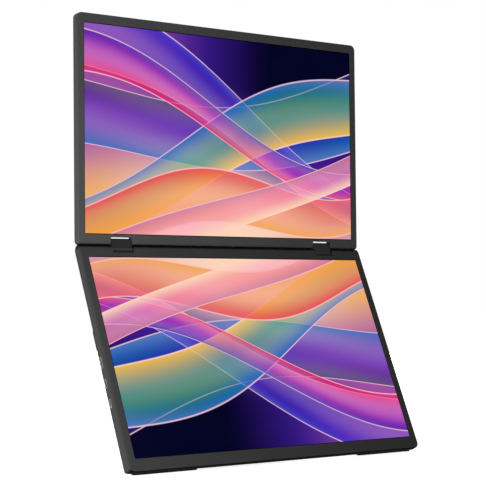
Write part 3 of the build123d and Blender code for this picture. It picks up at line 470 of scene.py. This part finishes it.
picture_place, given, result = start_group(
    "picture_place",
    {"Middle": "Vector", "Right": "Vector", "Up": "Vector"},
    {"S": "Float", "T": "Float", "Lit": "Float"},
)
from_middle = way_from(picture_place, given["Middle"])
sideways = along(picture_place, from_middle, given["Right"])
upwards = along(picture_place, from_middle, given["Up"])
from_left = calculate(picture_place, "MULTIPLY_ADD", sideways, 1.0 / lit_height, screen_aspect / 2)
from_bottom = calculate(picture_place, "MULTIPLY_ADD", upwards, 1.0 / lit_height, 0.5)
feed(picture_place, result["S"], from_left)
feed(picture_place, result["T"], from_bottom)
out_of_front = add_node(
    picture_place, "ShaderNodeVectorMath", {0: given["Right"], 1: given["Up"]}, operation="CROSS_PRODUCT"
).outputs["Vector"]
facing = add_node(picture_place, "ShaderNodeTexCoord", {}).outputs["Normal"]
front_side = between(picture_place, along(picture_place, facing, out_of_front), 0.4, 0.6)
edge_blur = 0.0001
off_side = calculate(picture_place, "ABSOLUTE", sideways)
off_height = calculate(picture_place, "ABSOLUTE", upwards)
in_width = between(picture_place, off_side, lit_width / 2, lit_width / 2 - edge_blur)
in_height = between(picture_place, off_height, lit_height / 2, lit_height / 2 - edge_blur)
in_window = calculate(picture_place, "MULTIPLY", in_width, in_height)
feed(picture_place, result["Lit"], calculate(picture_place, "MULTIPLY", in_window, front_side))

silk_sheet, given, result = start_group(
    "silk_sheet",
    {
        "Under": "Color", "S": "Float", "T": "Float", "Level": "Float", "Slope": "Float", "Swing": "Float",
        "Wave": "Float", "Phase": "Float", "Width": "Float", "Flare": "Float", "Opacity": "Float",
        "Lower": "Color", "Middle": "Color", "Upper": "Color",
    },
    {"Over": "Color"},
)
sway_turn = calculate(silk_sheet, "MULTIPLY_ADD", given["S"], given["Wave"], given["Phase"])
sway = calculate(silk_sheet, "SINE", sway_turn)
ramp = calculate(silk_sheet, "MULTIPLY_ADD", given["Slope"], given["S"], given["Level"])
centre = calculate(silk_sheet, "MULTIPLY_ADD", given["Swing"], sway, ramp)
spread_rate = 1.7
spread_turn = calculate(silk_sheet, "MULTIPLY_ADD", given["S"], spread_rate, given["Phase"])
spread = calculate(silk_sheet, "COSINE", spread_turn)
widening = calculate(silk_sheet, "MULTIPLY_ADD", given["Flare"], spread, 1.0)
half_width = calculate(silk_sheet, "MULTIPLY", given["Width"], widening)
above_centre = calculate(silk_sheet, "SUBTRACT", given["T"], centre)
height_share = calculate(silk_sheet, "DIVIDE", above_centre, half_width)
edge_share = calculate(silk_sheet, "ABSOLUTE", height_share)
rim_width = 0.0095
rim_fade = 0.004
rim_share = calculate(silk_sheet, "DIVIDE", rim_width, given["Width"])
fade_share = calculate(silk_sheet, "DIVIDE", rim_fade, given["Width"])
rim_start = calculate(silk_sheet, "SUBTRACT", 1.0, rim_share)
rim_full = calculate(silk_sheet, "SUBTRACT", 1.0, fade_share)
inside = between(silk_sheet, edge_share, 1.0, rim_full)
lower_part = calculate(silk_sheet, "ADD", height_share, 1.0)
lower_part = between(silk_sheet, lower_part, 0.0, 1.0)
upper_part = between(silk_sheet, height_share, 0.0, 1.0)
sheet_tint = blend(silk_sheet, lower_part, given["Lower"], given["Middle"])
sheet_tint = blend(silk_sheet, upper_part, sheet_tint, given["Upper"])
folds_across = 4.6
folds_along = 3.1
fold_shine = 0.05
fold_turn = calculate(silk_sheet, "MULTIPLY_ADD", height_share, folds_across, given["Phase"])
fold_turn = calculate(silk_sheet, "MULTIPLY_ADD", given["S"], folds_along, fold_turn)
fold = calculate(silk_sheet, "SINE", fold_turn)
fold = calculate(silk_sheet, "MULTIPLY_ADD", fold, fold_shine, fold_shine)
sheet_tint = blend(silk_sheet, fold, sheet_tint, srgb(255, 238, 243))
towards_edge = calculate(silk_sheet, "MULTIPLY", edge_share, edge_share)
middle_body = 0.6
body = calculate(silk_sheet, "MULTIPLY_ADD", towards_edge, 1.0 - middle_body, middle_body)
body = calculate(silk_sheet, "MULTIPLY", body, given["Opacity"])
body = calculate(silk_sheet, "MULTIPLY", body, inside)
covered = blend(silk_sheet, body, given["Under"], sheet_tint)
rim = between(silk_sheet, edge_share, rim_start, rim_full, 0.0, 0.8)
rim = calculate(silk_sheet, "MULTIPLY", inside, rim)
feed(silk_sheet, result["Over"], blend(silk_sheet, rim, covered, srgb(255, 208, 214)))

silk_picture, given, result = start_group("silk_picture", {"S": "Float", "T": "Float"}, {"Picture": "Color"})
mauve, violet, night = srgb(158, 78, 162), srgb(58, 26, 146), srgb(0, 0, 34)
sand, cream, dusk = srgb(240, 178, 104), srgb(251, 212, 186), srgb(216, 150, 168)
heather, plum = srgb(174, 96, 164), srgb(66, 24, 148)
upper_sky = blend(silk_picture, between(silk_picture, given["S"], 0.05, 0.75), mauve, violet)
upper_sky = blend(silk_picture, between(silk_picture, given["S"], 0.45, 1.1), upper_sky, night)
lower_sky = blend(silk_picture, between(silk_picture, given["S"], 0.0, 0.55), sand, cream)
lower_sky = blend(silk_picture, between(silk_picture, given["S"], 0.9, 1.6), lower_sky, dusk)
middle_sky = blend(silk_picture, between(silk_picture, given["S"], 0.2, 1.3), heather, plum)
horizon_swell = 0.10
horizon = calculate(silk_picture, "SINE", calculate(silk_picture, "MULTIPLY_ADD", given["S"], 2.2, 0.6))
height = calculate(silk_picture, "MULTIPLY_ADD", horizon, -horizon_swell, given["T"])
picture = blend(silk_picture, between(silk_picture, height, 0.08, 0.42), lower_sky, middle_sky)
picture = blend(silk_picture, between(silk_picture, height, 0.36, 0.72), picture, upper_sky)
teal, blue, indigo = srgb(20, 110, 190), srgb(28, 32, 196), srgb(10, 4, 100)
pink, lilac, rose = srgb(250, 148, 186), srgb(92, 54, 206), srgb(204, 112, 152)
gold, green, amber = srgb(250, 200, 44), srgb(76, 176, 80), srgb(242, 164, 72)
crimson, magenta, purple = srgb(226, 20, 106), srgb(188, 28, 180), srgb(74, 18, 168)
orange, coral, peach = srgb(240, 118, 20), srgb(232, 62, 70), srgb(253, 212, 180)
sheet_words = (
    "Level", "Slope", "Swing", "Wave", "Phase", "Width", "Flare", "Opacity", "Lower", "Middle", "Upper",
)
sheets = [
    (0.52, 0.10, 0.11, 2.3, 2.6, 0.190, 0.22, 0.90, teal, blue, indigo),
    (0.95, -0.44, 0.09, 3.0, 0.2, 0.130, 0.35, 0.82, pink, lilac, blue),
    (0.14, 0.36, 0.08, 3.2, 4.4, 0.120, 0.40, 0.86, gold, green, teal),
    (0.74, -0.22, 0.14, 2.6, 1.2, 0.095, 0.30, 0.92, crimson, magenta, purple),
    (0.05, 0.10, 0.09, 3.6, 5.6, 0.110, 0.30, 0.95, amber, orange, coral),
    (-0.22, 0.40, 0.05, 2.4, 1.0, 0.110, 0.30, 0.95, peach, pink, rose),
]
for values in sheets:
    inputs = dict(zip(sheet_words, values))
    inputs.update({"Under": picture, "S": given["S"], "T": given["T"]})
    picture = place_group(silk_picture, silk_sheet, inputs)["Over"]
feed(silk_picture, result["Picture"], picture)

for panel, right, up in (("lid", to_right, lid_up), ("base", -to_right, -base_up)):
    cell_low, cell_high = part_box(panel + "_display_cell")
    screen_values = {"Specular IOR Level": 0.008, "Emission Strength": 1.0}
    glass, tree, shader = new_finish(panel + "_screen", screen_values)
    spot = place_group(tree, picture_place, {"Middle": (cell_low + cell_high) / 2, "Right": right, "Up": up})
    picture = place_group(tree, silk_picture, {"S": spot["S"], "T": spot["T"]})["Picture"]
    feed(tree, shader.inputs["Emission Color"], blend(tree, spot["Lit"], srgb(0, 0, 0), picture))
    skin = place_group(tree, fine_grain, {"Grain": 0.0004, "Patch": 0.08})
    feed(tree, shader.inputs["Base Color"], blend(tree, skin["Tone"], srgb(1, 1, 2), srgb(3, 3, 4)))
    set_roughness(tree, shader, skin["Tone"], smooth=0.4, dull=0.46)
    emboss(tree, shader, skin["Height"], depth=0.00002, strength=0.15)
    dress(glass, panel + "_display_cell")


# Front bezels: one moulded frame for each panel, dark grey plastic with a fine spark-eroded texture; the
# base's is a darker copy, as painted shade. They snap into the rear covers and hold the display cells by
# their edges. Like the covers, they carry painted shade in matt black on the round hinge edges, and the
# base's also on its bottom wall.
lid_bezel = grained_finish(
    "lid_bezel", srgb(59, 59, 59), srgb(62, 62, 62), worn=srgb(83, 83, 83),
    grain=0.00016, depth=0.00003, rough=(0.5, 0.6), shader_values={"Specular IOR Level": 0.05},
    masks=lid_shade_masks,
)
dress(lid_bezel, "lid_front_bezel")
# Painted shade: the base's bezel is a darker copy of the lid's bezel.
shaded_base_bezel = grained_finish(
    "shaded_base_bezel", srgb(44, 44, 44), srgb(47, 47, 47), worn=srgb(67, 67, 67),
    grain=0.00016, depth=0.00003, rough=(0.5, 0.6), shader_values={"Specular IOR Level": 0.05},
    masks=base_shade_masks,
)
dress(shaded_base_bezel, "base_front_bezel")


# Hinge links: two short bars with a barrel about the lower axis, die-cast in aluminium, with a dark satin
# coat. Each turns on a shaft in the base and on another in the lid, so that the lid folds over the base or
# back behind it.
satin_coat = grained_finish(
    "satin_coat", srgb(21, 21, 22), srgb(26, 26, 27), worn=srgb(60, 60, 61),
    grain=0.0003, depth=0.00003, rough=(0.28, 0.34), shader_values={"Specular IOR Level": 0.15},
)
dress(satin_coat, "hinge_link_left", "hinge_link_right")


# Buttons in the right side wall: moulded black plastic keys with a raised mark each, held behind the wall
# by their flanges and pushed back by the switches.
key_plastic = grained_finish(
    "key_plastic", srgb(38, 38, 40), srgb(44, 44, 46), worn=srgb(74, 74, 76),
    grain=0.00014, depth=0.00002, rough=(0.42, 0.52), shader_values={"Specular IOR Level": 0.3},
)
dress(key_plastic, "power_button", "plus_button", "minus_button")
mark_paint = grained_finish(
    "mark_paint", srgb(176, 177, 179), srgb(190, 191, 193), worn=srgb(206, 207, 208),
    grain=0.0002, depth=0.00001, rough=(0.5, 0.6), shader_values={"Specular IOR Level": 0.3},
)

mark_reach = 0.0008
mark_stroke = 0.00026
mark_height = 0.0001
arm = mark_stroke / 2
bar = [(-mark_reach, -arm), (mark_reach, -arm), (mark_reach, arm), (-mark_reach, arm)]
cross = [
    (-mark_reach, -arm), (-arm, -arm), (-arm, -mark_reach), (arm, -mark_reach), (arm, -arm),
    (mark_reach, -arm), (mark_reach, arm), (arm, arm), (arm, mark_reach), (-arm, mark_reach),
    (-arm, arm), (-mark_reach, arm),
]
ring_opening = 80.0
ring_steps = 28
ring_step = (360.0 - ring_opening) / ring_steps
ring_turns = [math.radians(ring_opening / 2 + ring_step * step) for step in range(ring_steps + 1)]
outer_ring = [(mark_reach * math.cos(turn), mark_reach * math.sin(turn)) for turn in ring_turns]
inner_share = 1.0 - mark_stroke / mark_reach
open_ring = outer_ring + [(inner_share * x, inner_share * y) for x, y in reversed(outer_ring)]
stem_foot, stem_tip = mark_reach * 0.3, mark_reach * 1.15
stem = [(stem_foot, -arm), (stem_tip, -arm), (stem_tip, arm), (stem_foot, arm)]
marks = {"power": [open_ring, stem], "plus": [cross], "minus": [bar]}
for name, outlines in marks.items():
    key_low, key_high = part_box(name + "_button")
    seat = Vector((key_high.x, (key_low.y + key_high.y) / 2, (key_low.z + key_high.z) / 2))
    mark = bmesh.new()
    for outline in outlines:
        rim = [mark.verts.new(seat + base_up * x - base_out * y) for x, y in outline]
        raised = bmesh.ops.extrude_face_region(mark, geom=[mark.faces.new(rim)])["geom"]
        top = [item for item in raised if isinstance(item, bmesh.types.BMVert)]
        bmesh.ops.translate(mark, verts=top, vec=Vector((mark_height, 0.0, 0.0)))
    bmesh.ops.recalc_face_normals(mark, faces=mark.faces[:])
    top_edges = [line for line in mark.edges if all(v.co.x > seat.x + mark_height / 2 for v in line.verts)]
    bmesh.ops.bevel(mark, geom=top_edges, offset=mark_height / 3, segments=2, affect="EDGES")
    piece = new_piece(name + "_mark", mark, mark_paint)
    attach(piece, name + "_button")


# Stand: an aluminium plate that swings out of the base's back on two pins. It is cut from sheet, blasted
# and coated like the covers, a little smoother to the touch.
stand_coat = grained_finish(
    "stand_coat", srgb(54, 54, 55), srgb(57, 57, 58), worn=srgb(90, 90, 91),
    grain=0.00028, depth=0.00004, rough=(0.44, 0.5), shader_values={"Specular IOR Level": 0.25},
)
dress(stand_coat, "stand_plate")


# Feet: two long rubber strips under the base's bottom edge and two pads on the stand's tip, moulded and
# glued into shallow seats. They keep the object from sliding.
foot_rubber = grained_finish(
    "foot_rubber", srgb(7, 7, 8), srgb(11, 11, 12), worn=srgb(18, 18, 19),
    grain=0.0005, depth=0.00006, rough=(0.82, 0.95), shader_values={"Specular IOR Level": 0.08},
)
dress(foot_rubber, "bottom_foot_left", "bottom_foot_right", "stand_feet")


# Studio: a pale floor that takes the object's shadow and runs out into white, and white all round for what
# the camera and gloss see. A soft lamp stands at the left, a weak one low in front, another high at the
# right, whose light gleams on the hinge links, and a broad one behind.
def seen_directly(tree):
    """1 where the camera, gloss or glass sees a surface, and 0 where it only passes light on."""
    path = add_node(tree, "ShaderNodeLightPath", {}).outputs
    in_mirror = calculate(tree, "MAXIMUM", path["Is Glossy Ray"], path["Is Transmission Ray"])
    return calculate(tree, "MAXIMUM", path["Is Camera Ray"], in_mirror)


def add_lamp(name, place, target, width, power, in_gloss):
    """A square soft lamp that points at a target, unseen by the camera and, where asked, by gloss."""
    lamp = bpy.data.lights.new(name, "AREA")
    lamp.size = width
    lamp.energy = power
    holder = bpy.data.objects.new(name, lamp)
    holder.location = place
    holder.rotation_euler = (Vector(target) - Vector(place)).to_track_quat("-Z", "Y").to_euler()
    holder.visible_camera = False
    holder.visible_glossy = in_gloss
    bpy.context.scene.collection.objects.link(holder)


world = bpy.data.worlds.new("studio")
world.use_nodes = True
bpy.context.scene.world = world
tree = world.node_tree
backdrop = tree.nodes["Background"]
backdrop.inputs["Color"].default_value = (1.0, 1.0, 1.0, 1.0)
room_light = 0.04
feed(tree, backdrop.inputs["Strength"], between(tree, seen_directly(tree), 0.0, 1.0, room_light, 1.0))

floor_radius = 4.0
floor_drop = 0.0003
pale, tree, shader = new_finish("pale_floor", {"Roughness": 1.0, "Specular IOR Level": 0.0})
place = own_place(tree)
reach = add_node(tree, "ShaderNodeVectorMath", {0: place}, operation="LENGTH").outputs["Value"]
pale_radius = 0.3
white_radius = 0.9
pale_glow = 0.84
glow = between(tree, reach, pale_radius, white_radius, pale_glow, 1.0)
feed(tree, shader.inputs["Emission Strength"], calculate(tree, "MULTIPLY", glow, seen_directly(tree)))
shader.inputs["Emission Color"].default_value = (1.0, 1.0, 1.0, 1.0)
floor_tint = blend(tree, clouds(tree, place, 0.02, 3.0), srgb(208, 208, 208), srgb(212, 212, 212))
feed(tree, shader.inputs["Base Color"], floor_tint)
plate = bmesh.new()
bmesh.ops.create_circle(plate, cap_ends=True, segments=96, radius=floor_radius)
floor = new_piece("floor", plate, pale)
floor.location.z = -floor_drop

add_lamp(
    "key_lamp", place=(-0.55, -0.25, 0.28), target=(-0.05, 0.0, 0.25),
    width=0.35, power=4.15, in_gloss=False,
)
add_lamp(
    "low_lamp", place=(-0.3, -0.45, 0.07), target=(-0.05, 0.0, 0.05),
    width=0.12, power=1.35, in_gloss=False,
)
add_lamp(
    "top_lamp", place=(0.40, -0.15, 1.06), target=(0.0, 0.04, 0.22),
    width=0.3, power=1.4, in_gloss=True,
)
add_lamp(
    "back_lamp", place=(0.7, 1.3, 0.5), target=(0.0, 0.0, 0.22),
    width=1.0, power=40.0, in_gloss=False,
)


# Camera: at the photograph's viewing angle, a long lens from the left front at about the hinge's height.
# It is turned to its azimuth, tilted down by its elevation and then rolled.
azimuth = -34.73587
elevation = 0.37078
roll = 0.86253
lens_data = bpy.data.cameras.new("camera")
lens_data.sensor_width = 36.0
lens_data.lens = 103.72680
lens_data.shift_x = -0.02471
lens_data.shift_y = 0.04358
camera = bpy.data.objects.new("camera", lens_data)
swing_round = Matrix.Rotation(math.radians(azimuth), 4, "Z")
tilt_down = Matrix.Rotation(math.radians(90.0 - elevation), 4, "X")
turn_over = Matrix.Rotation(math.radians(roll), 4, "Z")
eye = Vector((-0.84064, -1.22243, 0.21180))
camera.matrix_world = Matrix.Translation(eye) @ swing_round @ tilt_down @ turn_over
bpy.context.scene.collection.objects.link(camera)
bpy.context.scene.camera = camera
bpy.context.scene.view_settings.view_transform = "Standard"
